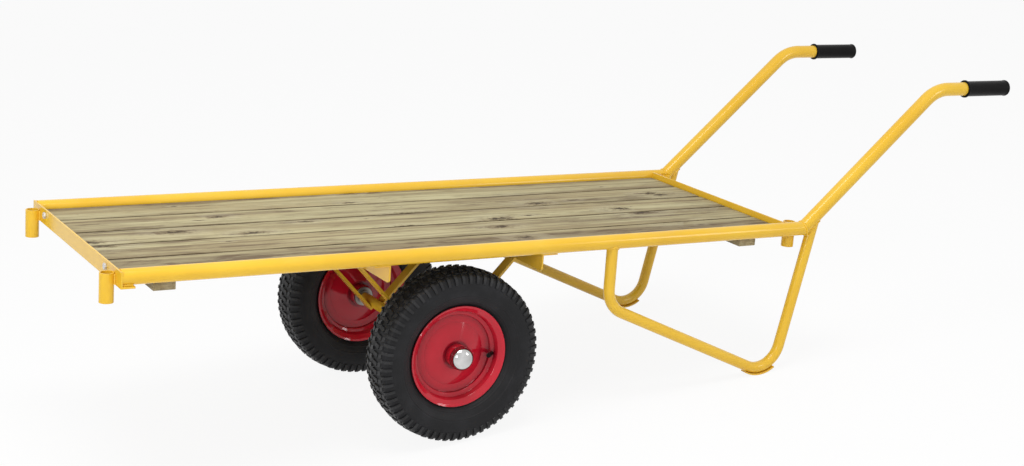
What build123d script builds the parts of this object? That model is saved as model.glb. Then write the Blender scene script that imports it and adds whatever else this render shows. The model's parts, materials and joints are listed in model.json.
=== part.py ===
from build123d import *
import os
from math import asin, atan2, cos, degrees, hypot, radians, sin, tan

os.makedirs("parts", exist_ok=True)

# Two-wheeled platform cart: a welded tube frame round a timber deck, with a wheel at each
# end of one axle, two bent legs and two handles. Lengths are millimetres, angles degrees.
# "Reach" is measured along the deck from the axle, positive towards the handles,
# "rise" is measured square to the deck from the axle.

# Frame tubes
rail_spacing = 605.0
rail_diameter = 33.7
rail_wall = 2.6
rail_rise = 245.0
front_reach = 787.0
rear_inset = 47.0
angle_height = 35.0
angle_flange = 30.0
angle_wall = 4.0
weld_gap = 0.05

# Handles and grips
handle_reach = 923.0
handle_slope = 41.7
handle_rise = 579.0
handle_bend_radius = 100.0
handle_level = 228.1
grip_length = 140.0
grip_wall = 2.3
grip_collar_rise = 2.8
grip_collar_length = 5.0
grip_end_thickness = 4.0
grip_bead_rise = 1.0
grip_bead_length = 5.0
grip_fit = 0.05

# Legs and wear shoes
leg_diameter = 26.9
leg_wall = 2.3
post_reach = 374.0
post_corner_rise = 90.0
foot_setback = 81.0
foot_drop = 127.0
upright_offset = 27.0
leg_bend_radius = 66.0
shoe_thickness = 3.5
shoe_width = 24.0
shoe_half_angle = 30.0

# Stake sockets
socket_diameter = 30.0
socket_wall = 2.5
socket_length = 62.0
socket_top_rise = 249.0
rear_socket_lift = 7.0
front_socket_spacing = 548.0
rear_socket_inset = 18.0
socket_gap = 0.3

# Axle, its cross-members and struts
axle_diameter = 25.0
axle_chamfer = 1.0
track = 512.0
crossmember_reach = 188.0
crossmember_leg = 40.0
crossmember_wall = 4.0
crossmember_corner = 9.0
strut_width = 30.0
strut_thickness = 6.0
strut_spacing = 320.0
strut_tail = 2.0

# Wheels
tyre_diameter = 400.0
tyre_width = 100.0
tread_width = 76.0
tread_crown = 5.0
shoulder_drop = 12.0
shoulder_step = 5.0
tyre_side_wall = 8.0
tyre_crown_wall = 14.0
rim_diameter = 235.0
rim_half_width = 31.0
rim_wall = 2.4
rim_bend = 2.5
lip_height = 4.5
lip_turn = 2.0
flange_height = 8.5
flange_turn = 7.0
seat_fall = 4.0
seat_width = 12.0
ledge_height = 8.0
ledge_fall = 3.0
well_fall = 1.5
web_ring_diameter = 146.0
web_crown = 14.0
web_collar = 6.0
hub_diameter = 54.0
hub_length = 75.0
hub_bore = 40.0
bearing_diameter = 47.0
bearing_width = 12.0
bearing_recess = 1.0
bearing_race = 3.5
bearing_shield_inset = 1.0
bearing_fit = 0.03
tube_wall = 2.5
tube_gap = 0.4
tube_half_width = 38.0
valve_diameter = 8.4
valve_inside = 10.0
valve_outside = 26.0
valve_lean = 45.0
valve_turn = 10.0
valve_cap_wall = 1.0
valve_cap_length = 9.0
valve_fit = 0.2

# Wheel retention on the axle
washer_diameter = 46.0
washer_thickness = 3.0
washer_fit = 0.1
end_float = 0.3
collar_diameter = 34.0
collar_width = 8.0
cap_diameter = 56.0
cap_depth = 23.0
cap_skirt = 5.0
cap_grip = 14.0

# Timber deck
board_count = 5
board_thickness = 18.0
board_gap = 1.5
board_edge_radius = 4.0
deck_end_gap = 4.0
batten_width = 48.0
batten_thickness = 23.0
front_batten_inset = 102.0
rear_batten_inset = 104.0
batten_end_gap = 1.0

# Fasteners
bolt_diameter = 8.0
bolt_spacing = 444.0
bolt_drop = 12.6
bolt_head_height = 5.3
bolt_across_flats = 13.0
nut_height = 6.5
nut_fit = 0.1
bolt_tail = 4.0
bolt_fit = 0.3
notch_width = 19.0
notch_gap = 1.5
screw_diameter = 4.5
screw_head_diameter = 9.0
screw_head_height = 3.0
screw_bite = 15.0
screw_pair_spacing = 60.0
screw_fit = 0.1
flange_screw_inset = 19.0

# Radii and heights that follow from the sizes above
tyre_radius = tyre_diameter / 2
rail_radius = rail_diameter / 2
leg_radius = leg_diameter / 2
axle_radius = axle_diameter / 2
socket_radius = socket_diameter / 2
deck_seat = rail_rise - rail_radius
rail_front = angle_wall - front_reach
inner_width = rail_spacing - rail_diameter
angle_foot = deck_seat - angle_wall
angle_top = angle_foot + angle_height
grip_bore = rail_radius + grip_fit
grip_radius = grip_bore + grip_wall

# The rear end keeps its place beside the handles' corners on the rails
rear_reach = handle_reach - rear_inset
rear_socket_reach = handle_reach - rear_socket_inset
upright_reach = handle_reach + upright_offset
foot_reach = upright_reach - foot_setback
handle_climb = tan(radians(handle_slope))
handle_corner = handle_reach + (handle_rise - rail_rise) / handle_climb
handle_end = handle_corner + handle_level

# The cart stands on its tyres and on the soles of its leg shoes, so the deck slopes back.
# The foot bend's centre and the two circles that touch the floor give that slope.
slope_angle = atan2(post_corner_rise + foot_drop, foot_reach - post_reach)
upright_angle = atan2(rail_rise + foot_drop, upright_reach - foot_reach)
foot_bisector = (radians(180) - slope_angle + upright_angle) / 2
foot_offset = leg_bend_radius / cos((slope_angle + upright_angle) / 2)
foot_centre_x = foot_reach + foot_offset * cos(foot_bisector)
foot_centre_z = foot_offset * sin(foot_bisector) - foot_drop
shoe_inner_radius = leg_bend_radius + leg_radius + weld_gap
sole_radius = shoe_inner_radius + shoe_thickness
sole_climb = asin((tyre_radius - sole_radius) / hypot(foot_centre_x, foot_centre_z))
stand_tilt = atan2(foot_centre_z, foot_centre_x) + sole_climb

# The origin is on the floor, midway between the front sockets and the grips' ends.
socket_front = front_reach + weld_gap + socket_diameter
socket_foot_rise = socket_top_rise - socket_length
grip_end = handle_end + grip_fit + grip_end_thickness
grip_bead_top = handle_rise + grip_radius + grip_bead_rise
front_x = socket_foot_rise * sin(stand_tilt) - socket_front * cos(stand_tilt)
rear_x = grip_end * cos(stand_tilt) + grip_bead_top * sin(stand_tilt)
axle_x = -(front_x + rear_x) / 2

# Planes in the cart's own directions, all through the axle's centre: the deck seen from
# above, the cart seen from its left side, and its cross-section seen from behind.
along = Vector(cos(stand_tilt), 0, -sin(stand_tilt))
upward = Vector(sin(stand_tilt), 0, cos(stand_tilt))
axle_centre = Vector(axle_x, 0, tyre_radius)
deck = Plane(origin=axle_centre, x_dir=along, z_dir=upward)
side = Plane(origin=axle_centre, x_dir=along, z_dir=(0, -1, 0))
cross = Plane(origin=axle_centre, x_dir=(0, 1, 0), z_dir=along)

sides = {"left": -1, "right": 1}
ends = {"front": -1, "rear": 1}


def spot(reach, across, rise):
    """The point at these distances from the axle's centre."""
    return axle_centre + along * reach + Vector(0, across, 0) + upward * rise


def heading(angle):
    """The direction that climbs at this angle towards the handles."""
    return along * cos(radians(angle)) + upward * sin(radians(angle))


def side_view(across):
    """The side plane moved to this distance across the cart."""
    return side.offset(-across)


def save(builder, node):
    """Names a finished piece and writes it."""
    builder.part.label = node
    export_step(builder.part, f"parts/{node}.step")


def ring(outer_radius, inner_radius):
    """A tube's section in the sketch being drawn."""
    Circle(outer_radius)
    Circle(inner_radius, mode=Mode.SUBTRACT)


# Side rails and handles meet in a mitre
mitre = Plane(spot(handle_reach, 0, rail_rise), x_dir=(0, 1, 0), z_dir=heading(handle_slope / 2))
grip_start = grip_end - grip_length
grip_collar_end = grip_start + grip_collar_length
grip_bead_start = grip_end - grip_bead_length

for side_name, sign in sides.items():
    rail_across = sign * rail_spacing / 2

    with BuildPart() as side_rail:
        with BuildSketch(cross.offset(rail_front)):
            with Locations((rail_across, rail_rise)):
                ring(rail_radius, rail_radius - rail_wall)
        extrude(amount=handle_reach + rail_diameter - rail_front)
        split(bisect_by=mitre, keep=Keep.BOTTOM)
    save(side_rail, f"side_rail_{side_name}")

    with BuildPart() as handle_tube:
        with BuildLine(side_view(rail_across)):
            handle_path = FilletPolyline(
                (handle_reach - rail_diameter, rail_rise - rail_diameter * handle_climb),
                (handle_corner, handle_rise),
                (handle_end, handle_rise),
                radius=handle_bend_radius,
            )
        with BuildSketch(Plane(origin=handle_path @ 0, z_dir=handle_path % 0)):
            ring(rail_radius, rail_radius - rail_wall)
        sweep()
        split(bisect_by=mitre, keep=Keep.TOP)
    save(handle_tube, f"handle_tube_{side_name}")

    with BuildPart() as grip:
        with BuildSketch(side_view(rail_across)):
            with BuildLine():
                Polyline(
                    (handle_end + grip_fit, handle_rise),
                    (handle_end + grip_fit, handle_rise + grip_bore),
                    (grip_start, handle_rise + grip_bore),
                    (grip_start, handle_rise + grip_radius + grip_collar_rise),
                    (grip_collar_end, handle_rise + grip_radius + grip_collar_rise),
                    (grip_collar_end, handle_rise + grip_radius),
                    (grip_bead_start, handle_rise + grip_radius),
                    (grip_bead_start, grip_bead_top),
                    (grip_end, grip_bead_top),
                    (grip_end, handle_rise),
                    close=True,
                )
            make_face()
        revolve(axis=Axis(spot(handle_end, rail_across, handle_rise), along))
    save(grip, f"grip_{side_name}")

# Where the deck's boards and fasteners lie across and along the cart
board_places = [inner_width * ((board + 0.5) / board_count - 0.5) for board in range(board_count)]
batten_reaches = {"front": front_batten_inset - front_reach, "rear": rear_reach - rear_batten_inset}
angle_faces = {"front": front_reach, "rear": rear_reach}
angle_lengths = {"front": rail_spacing + rail_diameter, "rear": inner_width - 2 * weld_gap}
flange_spots = [
    (end * (angle_faces[end_name] - flange_screw_inset), across)
    for end_name, end in ends.items()
    for across in board_places
]
batten_spots = [
    (reach, across + shift)
    for reach in batten_reaches.values()
    for across in board_places
    for shift in (-screw_pair_spacing / 2, screw_pair_spacing / 2)
]
bolt_spots = [(-bolt_spacing / 2, angle_top - bolt_drop), (bolt_spacing / 2, angle_top - bolt_drop)]

# Front and rear crossmembers: steel angle with its upright leg outside, its flange under the deck
for end_name, end in ends.items():
    outer = angle_faces[end_name]

    with BuildPart() as crossmember:
        with BuildSketch(side_view(0)):
            with BuildLine():
                Polyline(
                    (end * outer, angle_top),
                    (end * outer, angle_foot),
                    (end * (outer - angle_flange), angle_foot),
                    (end * (outer - angle_flange), deck_seat),
                    (end * (outer - angle_wall), deck_seat),
                    (end * (outer - angle_wall), angle_top),
                    close=True,
                )
            make_face()
        extrude(amount=angle_lengths[end_name] / 2, both=True)
        with BuildSketch(deck.offset(deck_seat)):
            with Locations(*flange_spots):
                Circle(screw_diameter / 2 + bolt_fit)
        extrude(amount=-angle_wall, mode=Mode.SUBTRACT)
        with BuildSketch(cross.offset(-front_reach)):
            with Locations(*bolt_spots):
                Circle(bolt_diameter / 2 + bolt_fit)
        extrude(amount=angle_wall, mode=Mode.SUBTRACT)
    save(crossmember, f"{end_name}_crossmember")

# Stake sockets: short open tubes, in front of the front crossmember and inside the rails behind
rear_socket_across = inner_width / 2 - socket_radius - socket_gap
socket_axes = {
    "front": (-front_reach - weld_gap - socket_radius, front_socket_spacing / 2, socket_top_rise),
    "rear": (rear_socket_reach, rear_socket_across, socket_top_rise + rear_socket_lift),
}

for side_name, sign in sides.items():
    for end_name, (socket_reach, socket_across, socket_top) in socket_axes.items():
        with BuildPart() as stake_socket:
            with BuildSketch(deck.offset(socket_top)):
                with Locations((socket_reach, sign * socket_across)):
                    ring(socket_radius, socket_radius - socket_wall)
            extrude(amount=-socket_length)
        save(stake_socket, f"{end_name}_stake_socket_{side_name}")

# Legs: one bent tube a side, coped under the rail in front and under the handle behind
upright_lean = (upright_reach - foot_reach) / (rail_rise + foot_drop)
lean_climb = upright_lean * handle_climb
top_reach = (upright_reach - handle_reach * lean_climb) / (1 - lean_climb)
top_rise = rail_rise + (top_reach - handle_reach) * handle_climb
shoe_start = degrees(stand_tilt) - 90 - shoe_half_angle

for side_name, sign in sides.items():
    leg_across = sign * rail_spacing / 2

    with BuildPart() as leg_tube:
        with BuildLine(side_view(leg_across)):
            leg_path = FilletPolyline(
                (post_reach, rail_rise),
                (post_reach, post_corner_rise),
                (foot_reach, -foot_drop),
                (top_reach, top_rise),
                radius=leg_bend_radius,
            )
        with BuildSketch(Plane(origin=leg_path @ 0, z_dir=leg_path % 0)):
            ring(leg_radius, leg_radius - leg_wall)
        sweep()
        with BuildSketch(cross.offset(post_reach)):
            with Locations((leg_across, rail_rise)):
                Circle(rail_radius + weld_gap)
        extrude(amount=leg_diameter, both=True, mode=Mode.SUBTRACT)
        with BuildSketch(Plane(spot(top_reach, leg_across, top_rise), z_dir=heading(handle_slope))):
            Circle(rail_radius + weld_gap)
        extrude(amount=2 * rail_diameter, both=True, mode=Mode.SUBTRACT)
    save(leg_tube, f"leg_tube_{side_name}")

    with BuildPart() as leg_shoe:
        with BuildSketch(side_view(leg_across)):
            with BuildLine():
                foot_centre = (foot_centre_x, foot_centre_z)
                sole = CenterArc(foot_centre, sole_radius, shoe_start, 2 * shoe_half_angle)
                seat = CenterArc(foot_centre, shoe_inner_radius, shoe_start, 2 * shoe_half_angle)
                Line(sole @ 0, seat @ 0)
                Line(sole @ 1, seat @ 1)
            make_face()
        extrude(amount=shoe_width / 2, both=True)
    save(leg_shoe, f"leg_shoe_{side_name}")

# Axle cross-members: angles under the rails, flange outward. Each strut lies against the
# toe of one, ends under its flange and meets the axle's lower side as a tangent.
strut_seat = axle_radius + weld_gap
toe_reach = crossmember_reach + crossmember_wall + weld_gap
toe_rise = deck_seat - crossmember_leg
strut_angle = atan2(toe_rise, toe_reach) + asin(strut_seat / hypot(toe_reach, toe_rise))
strut_foot_x = strut_seat * sin(strut_angle) - strut_tail * cos(strut_angle)
strut_foot_z = -strut_seat * cos(strut_angle) - strut_tail * sin(strut_angle)
strut_skin_x = strut_foot_x + strut_thickness * sin(strut_angle)
strut_skin_z = strut_foot_z - strut_thickness * cos(strut_angle)
strut_top_rise = deck_seat - crossmember_wall - weld_gap
strut_top_inner = strut_foot_x + (strut_top_rise - strut_foot_z) / tan(strut_angle)
strut_top_outer = strut_top_inner + strut_thickness / sin(strut_angle)

for end_name, end in ends.items():
    with BuildPart() as axle_crossmember:
        with BuildSketch(cross.offset(end * crossmember_reach)):
            with Locations((0, deck_seat - crossmember_leg / 2)):
                leg_plate = Rectangle(rail_spacing, crossmember_leg)
            fillet(leg_plate.vertices().group_by(Axis.Y)[0], crossmember_corner)
        extrude(amount=end * crossmember_wall)
        with BuildSketch(deck.offset(deck_seat)):
            with Locations((end * (crossmember_reach + crossmember_leg / 2), 0)):
                Rectangle(crossmember_leg, rail_spacing)
        extrude(amount=-crossmember_wall)
    save(axle_crossmember, f"axle_crossmember_{end_name}")

    for side_name, sign in sides.items():
        with BuildPart() as axle_strut:
            with BuildSketch(side_view(sign * strut_spacing / 2)):
                with BuildLine():
                    Polyline(
                        (end * strut_foot_x, strut_foot_z),
                        (end * strut_top_inner, strut_top_rise),
                        (end * strut_top_outer, strut_top_rise),
                        (end * strut_skin_x, strut_skin_z),
                        close=True,
                    )
                make_face()
            extrude(amount=strut_width / 2, both=True)
        save(axle_strut, f"axle_strut_{end_name}_{side_name}")

# The axle runs from cap to cap; collars and washers hold each hub between them
hub_inner = track / 2 - hub_length / 2
hub_outer = track / 2 + hub_length / 2
inner_washer = hub_inner - end_float - washer_thickness
outer_washer = hub_outer + end_float
cap_base = outer_washer + washer_thickness

with BuildPart() as axle:
    with BuildSketch(side_view(0)):
        Circle(axle_radius)
    extrude(amount=cap_base + cap_grip, both=True)
    chamfer(axle.edges().filter_by(GeomType.CIRCLE), axle_chamfer)
save(axle, "axle")

with BuildPart() as axle_collars:
    for sign in sides.values():
        with BuildSketch(side_view(sign * inner_washer)):
            ring(collar_diameter / 2, axle_radius + weld_gap)
        extrude(amount=sign * collar_width)
save(axle_collars, "axle_collars")

with BuildPart() as hub_washers:
    for sign in sides.values():
        for washer_face in (inner_washer, outer_washer):
            with BuildSketch(side_view(sign * washer_face)):
                ring(washer_diameter / 2, axle_radius + washer_fit)
            extrude(amount=-sign * washer_thickness)
save(hub_washers, "hub_washers")

# Wheel sizes: distances from the axle, and outward from the wheel's middle
spin = Axis((axle_x, 0, tyre_radius), (0, 1, 0))
rim_edge = rim_diameter / 2
flange_start = Vector(rim_edge - lip_height, rim_half_width - lip_turn)
heel = flange_start - Vector(flange_height, flange_turn)
seat_end = heel - Vector(seat_fall, seat_width)
ledge_end = seat_end - Vector(ledge_height, ledge_fall)
web_ring = web_ring_diameter / 2
web_mid = rim_wall / 2 + weld_gap
web_peak = web_mid + web_crown
hub_radius = hub_diameter / 2
tread_half = tread_width / 2
crown_edge = tyre_radius - tread_crown
shoulder_radius = tyre_radius - shoulder_drop
shoulder_half = tread_half + shoulder_step
lip_radius = rim_edge + rim_wall
lip_half = rim_half_width - rim_bend
bead_inner = lip_half - tyre_side_wall
belly_radius = (lip_radius + shoulder_radius) / 2
belly_half = tyre_width / 2
cavity_radius = tyre_radius - tyre_crown_wall
cavity_half = belly_half - tyre_side_wall
cavity_foot = lip_radius + tyre_side_wall / 2
tube_mid = (cavity_radius + cavity_foot) / 2
tube_half_height = cavity_radius - tube_gap - tube_mid
cap_foot = cap_base - track / 2
cap_floor = cap_foot + cap_grip + weld_gap
cap_sleeve = axle_radius + weld_gap
cap_edge = cap_diameter / 2
bearing_bore = axle_radius + bearing_fit
bearing_radius = bearing_diameter / 2
bearing_seat = bearing_radius + weld_gap
bearing_outer = hub_length / 2 - bearing_recess
bearing_inner = bearing_outer - bearing_width
bearing_shield = bearing_outer - bearing_shield_inset
valve_foot = (seat_end + ledge_end) / 2
valve_side = Vector(cos(radians(valve_turn)), 0, -sin(radians(valve_turn)))


def along_rim(start, end):
    """The tyre's line beside a straight run of the rim, clear of the bends at its ends."""
    run = (end - start).normalized()
    clear = Vector(-run.Y, run.X) * (rim_wall / 2 + weld_gap)
    return [start + run * rim_bend + clear, end - run * rim_bend + clear]


for side_name, sign in sides.items():
    wheel_centre = (axle_x, sign * track / 2, tyre_radius)
    section = Plane(wheel_centre, x_dir=valve_side, z_dir=valve_side.cross(Vector(0, sign, 0)))
    valve_out = section.y_dir * sin(radians(valve_lean)) - section.x_dir * cos(radians(valve_lean))
    valve = Plane(section.from_local_coords(valve_foot), z_dir=valve_out)

    with BuildPart() as axle_cap:
        with BuildSketch(section):
            with BuildLine():
                TangentArc((0, cap_foot + cap_depth), (cap_edge, cap_foot + cap_skirt), tangent=(1, 0))
                Polyline(
                    (0, cap_foot + cap_depth),
                    (0, cap_floor),
                    (cap_sleeve, cap_floor),
                    (cap_sleeve, cap_foot),
                    (cap_edge, cap_foot),
                    (cap_edge, cap_foot + cap_skirt),
                )
            make_face()
        revolve(axis=spin)
    save(axle_cap, f"axle_cap_{side_name}")

    with BuildPart() as tyre:
        with BuildSketch(section):
            with BuildLine():
                crown = Line((cavity_radius, 0), (tyre_radius, 0))
                tread = Polyline(crown @ 1, (crown_edge, tread_half), (shoulder_radius, shoulder_half))
                wall = ThreePointArc(tread @ 1, (belly_radius, belly_half), (lip_radius, lip_half))
                bead = Polyline(
                    wall @ 1,
                    *along_rim(flange_start, heel),
                    *along_rim(heel, seat_end),
                    (cavity_foot, bead_inner),
                )
                vault = (cavity_radius, tread_half / 2)
                ThreePointArc(bead @ 1, (belly_radius, cavity_half), vault)
                Line(vault, crown @ 0)
            make_face()
            mirror(about=Plane.XZ)
        revolve(axis=spin)
    save(tyre, f"tyre_{side_name}")

    with BuildPart() as inner_tube:
        with BuildSketch(section):
            with Locations((tube_mid, 0)):
                Ellipse(tube_half_height, tube_half_width)
                Ellipse(tube_half_height - tube_wall, tube_half_width - tube_wall, mode=Mode.SUBTRACT)
        revolve(axis=spin)
    save(inner_tube, f"inner_tube_{side_name}")

    for half_name, face in {"outer": 1, "inner": -1}.items():
        with BuildPart() as rim_half:
            with BuildSketch(section):
                with BuildLine():
                    FilletPolyline(
                        (rim_edge, face * rim_half_width),
                        (flange_start.X, face * flange_start.Y),
                        (heel.X, face * heel.Y),
                        (seat_end.X, face * seat_end.Y),
                        (ledge_end.X, face * ledge_end.Y),
                        (ledge_end.X - well_fall, face * web_mid),
                        (web_ring, face * web_mid),
                        (hub_radius + web_collar, face * web_peak),
                        (hub_radius + weld_gap, face * web_peak),
                        radius=rim_bend,
                    )
                trace(line_width=rim_wall)
            revolve(axis=spin)
            if face > 0:
                with BuildSketch(valve.offset(-valve_inside)):
                    Circle(valve_diameter / 2 + valve_fit)
                extrude(amount=valve_inside + valve_outside, mode=Mode.SUBTRACT)
        save(rim_half, f"rim_{half_name}_half_{side_name}")

        with BuildPart() as bearing:
            with BuildSketch(section):
                with BuildLine():
                    Polyline(
                        (bearing_bore, face * bearing_inner),
                        (bearing_radius, face * bearing_inner),
                        (bearing_radius, face * bearing_outer),
                        (bearing_radius - bearing_race, face * bearing_outer),
                        (bearing_radius - bearing_race, face * bearing_shield),
                        (bearing_bore + bearing_race, face * bearing_shield),
                        (bearing_bore + bearing_race, face * bearing_outer),
                        (bearing_bore, face * bearing_outer),
                        close=True,
                    )
                make_face()
            revolve(axis=spin)
        save(bearing, f"{half_name}_bearing_{side_name}")

    with BuildPart() as hub_tube:
        with BuildSketch(section):
            with BuildLine():
                Polyline(
                    (hub_bore / 2, 0),
                    (hub_radius, 0),
                    (hub_radius, hub_length / 2),
                    (bearing_seat, hub_length / 2),
                    (bearing_seat, bearing_inner - weld_gap),
                    (hub_bore / 2, bearing_inner - weld_gap),
                    close=True,
                )
            make_face()
            mirror(about=Plane.XZ)
        revolve(axis=spin)
    save(hub_tube, f"hub_tube_{side_name}")

    with BuildPart() as valve_stem:
        with BuildSketch(valve.offset(-valve_inside)):
            Circle(valve_diameter / 2)
        extrude(amount=valve_inside + valve_outside - valve_cap_wall)
    save(valve_stem, f"valve_stem_{side_name}")

    with BuildPart() as valve_cap:
        with BuildSketch(valve.offset(valve_outside)):
            Circle(valve_diameter / 2 + weld_gap + valve_cap_wall)
        extrude(amount=-valve_cap_length)
        with BuildSketch(valve.offset(valve_outside - valve_cap_wall + weld_gap)):
            Circle(valve_diameter / 2 + weld_gap)
        extrude(amount=-valve_cap_length, mode=Mode.SUBTRACT)
    save(valve_cap, f"valve_cap_{side_name}")

# Deck boards lie between the rails on the flanges; the outer two are notched round the nuts
board_front = rail_front + deck_end_gap
board_length = rear_reach - angle_wall - deck_end_gap - board_front
board_width = inner_width / board_count - board_gap
notch_end = rail_front + nut_height + bolt_tail + notch_gap
notch_length = notch_end - board_front

for number, across in enumerate(board_places, start=1):
    with BuildPart() as deck_board:
        with BuildSketch(cross.offset(board_front)):
            with Locations((across, deck_seat + board_thickness / 2)):
                plank = Rectangle(board_width, board_thickness)
            fillet(plank.vertices().group_by(Axis.Y)[-1], board_edge_radius)
        extrude(amount=board_length)
        with BuildSketch(deck.offset(deck_seat)):
            with Locations(*flange_spots, *batten_spots):
                Circle(screw_diameter / 2 + screw_fit)
        extrude(amount=screw_bite + screw_fit, mode=Mode.SUBTRACT)
        with BuildSketch(deck.offset(deck_seat)):
            for bolt_across, bolt_rise in bolt_spots:
                with Locations((board_front + notch_length / 2, bolt_across)):
                    Rectangle(notch_length, notch_width)
        extrude(amount=board_thickness, mode=Mode.SUBTRACT)
    save(deck_board, f"deck_board_{number}")

for end_name, reach in batten_reaches.items():
    with BuildPart() as deck_batten:
        with BuildSketch(deck.offset(deck_seat)):
            with Locations((reach, 0)):
                Rectangle(batten_width, inner_width - 2 * batten_end_gap)
        extrude(amount=-batten_thickness)
        with BuildSketch(deck.offset(deck_seat)):
            with Locations(*batten_spots):
                Circle(screw_diameter / 2 + screw_fit)
        extrude(amount=-batten_thickness, mode=Mode.SUBTRACT)
        with BuildSketch(deck.offset(deck_seat - batten_thickness)):
            with Locations(*batten_spots):
                Circle(screw_head_diameter / 2 + screw_fit)
        extrude(amount=screw_head_height, mode=Mode.SUBTRACT)
    save(deck_batten, f"deck_batten_{end_name}")

# Screws up into the boards, their heads sunk in the battens or under the flanges
with BuildPart() as batten_screws:
    with BuildSketch(deck.offset(deck_seat - batten_thickness)):
        with Locations(*batten_spots):
            Circle(screw_head_diameter / 2)
    extrude(amount=screw_head_height)
    with BuildSketch(deck.offset(deck_seat - batten_thickness)):
        with Locations(*batten_spots):
            Circle(screw_diameter / 2)
    extrude(amount=batten_thickness + screw_bite)
save(batten_screws, "batten_screws")

with BuildPart() as flange_screws:
    with BuildSketch(deck.offset(angle_foot)):
        with Locations(*flange_spots):
            Circle(screw_head_diameter / 2)
    extrude(amount=-screw_head_height)
    with BuildSketch(deck.offset(angle_foot)):
        with Locations(*flange_spots):
            Circle(screw_diameter / 2)
    extrude(amount=angle_wall + screw_bite)
save(flange_screws, "flange_screws")

# Bolts through the front crossmember, with nuts behind it
with BuildPart() as front_bolts:
    with BuildSketch(cross.offset(-front_reach)):
        with Locations(*bolt_spots):
            RegularPolygon(bolt_across_flats / 2, 6, major_radius=False)
    extrude(amount=-bolt_head_height)
    with BuildSketch(cross.offset(-front_reach)):
        with Locations(*bolt_spots):
            Circle(bolt_diameter / 2)
    extrude(amount=angle_wall + nut_height + bolt_tail)
save(front_bolts, "front_bolts")

with BuildPart() as front_nuts:
    with BuildSketch(cross.offset(rail_front)):
        with Locations(*bolt_spots):
            RegularPolygon(bolt_across_flats / 2, 6, major_radius=False)
        with Locations(*bolt_spots):
            Circle(bolt_diameter / 2 + nut_fit, mode=Mode.SUBTRACT)
    extrude(amount=nut_height)
save(front_nuts, "front_nuts")
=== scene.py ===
# %% [markdown]
# # A timber-decked platform cart
#
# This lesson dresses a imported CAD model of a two-wheeled hand cart.

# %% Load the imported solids
import json
import math
from functools import partial
import bpy
import bmesh
from mathutils import Matrix, Vector, noise


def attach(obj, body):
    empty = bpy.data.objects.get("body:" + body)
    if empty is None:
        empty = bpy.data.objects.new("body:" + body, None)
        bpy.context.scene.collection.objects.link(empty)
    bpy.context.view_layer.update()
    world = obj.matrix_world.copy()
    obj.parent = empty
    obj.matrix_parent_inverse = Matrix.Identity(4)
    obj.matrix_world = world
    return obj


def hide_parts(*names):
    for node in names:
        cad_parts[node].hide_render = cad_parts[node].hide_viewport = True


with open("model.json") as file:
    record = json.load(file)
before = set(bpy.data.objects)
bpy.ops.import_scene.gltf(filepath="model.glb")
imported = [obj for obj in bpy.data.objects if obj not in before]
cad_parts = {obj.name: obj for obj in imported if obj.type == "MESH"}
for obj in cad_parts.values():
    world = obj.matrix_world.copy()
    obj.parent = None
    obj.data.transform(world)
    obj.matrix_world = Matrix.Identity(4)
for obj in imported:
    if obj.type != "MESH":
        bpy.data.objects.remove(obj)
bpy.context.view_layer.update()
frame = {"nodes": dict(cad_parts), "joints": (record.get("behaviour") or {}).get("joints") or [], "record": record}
stage = bpy.context.scene

# %% [markdown]
# The cart stands on its tyres and leg shoes, so its deck slopes a few degrees. The deck's mount
# points square to the boards, which gives the slope, and the wheel hinges give the axle. A point
# can then be named the way a maker would: along, across and above the axle.

# %% The cart's own directions
mounts = {mount["name"]: mount for mount in frame["record"]["mounts"]}
hinges = {joint["name"]: joint for joint in frame["joints"]}
upward = Vector(mounts["deck_top"]["axis"]).normalized()
along = Vector((upward.z, 0, -upward.x))
crosswise = Vector((0, 1, 0))
axle = Vector(hinges["left_wheel_spin"]["pos_m"])
track = abs(axle.y)
axle.y = 0
sides = {"left": -1, "right": 1}


def cart(reach, across, rise):
    """A point from its distances in millimetres along, across and above the axle."""
    return axle + (along * reach + crosswise * across + upward * rise) / 1000


def extent(node):
    """A solid's low and high along, across and above the axle, in millimetres."""
    spots = [(vertex.co - axle) * 1000 for vertex in frame["nodes"][node].data.vertices]
    shadows = [[spot.dot(way) for spot in spots] for way in (along, crosswise, upward)]
    return [(min(values), max(values)) for values in shadows]


def middle(span):
    """Half way between a low and a high."""
    return sum(span) / 2


def gauge(span):
    """How far a low is from a high."""
    return span[1] - span[0]


print("deck slopes", round(math.degrees(math.atan2(upward.x, upward.z)), 2), "degrees")

# %% [markdown]
# ## Tools for shaders
#
# Materials are drawn with nodes. Small helpers keep the drawing short: they add a node and fill its
# sockets, do arithmetic, mix two colours and ease a value into a range.

# %% Helpers for node drawing


def feed(tree, socket, value):
    """Links a socket, or sets its value; a node stands for its first output, and colours are opaque."""
    if isinstance(value, bpy.types.Node):
        value = value.outputs[0]
    if isinstance(value, bpy.types.NodeSocket):
        tree.links.new(value, socket)
    else:
        socket.default_value = (*value, 1) if socket.type == "RGBA" else value


def add(tree, kind, ins=None, family="ShaderNode", **settings):
    """Adds a node with its settings and inputs."""
    made = tree.nodes.new(family + kind)
    for name, value in settings.items():
        setattr(made, name, value)
    for name, value in (ins or {}).items():
        feed(tree, made.inputs[name], value)
    return made


def sums(tree, operation, first, second=0.0, clamp=False):
    """One arithmetic step."""
    return add(tree, "Math", {0: first, 1: second}, operation=operation, use_clamp=clamp)


def times(tree, first, second, clamp=False):
    """A product."""
    return sums(tree, "MULTIPLY", first, second, clamp)


def plus(tree, first, second, clamp=False):
    """A sum."""
    return sums(tree, "ADD", first, second, clamp)


def blended(tree, factor, first, second):
    """Two colours mixed by a factor."""
    return add(tree, "Mix", {0: factor, 6: first, 7: second}, data_type="RGBA").outputs[2]


def between(tree, value, low, high, out_low=0.0, out_high=1.0):
    """A value eased from one range into another."""
    ranges = {0: value, 1: low, 2: high, 3: out_low, 4: out_high}
    return add(tree, "MapRange", ranges, interpolation_type="SMOOTHSTEP")


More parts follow.
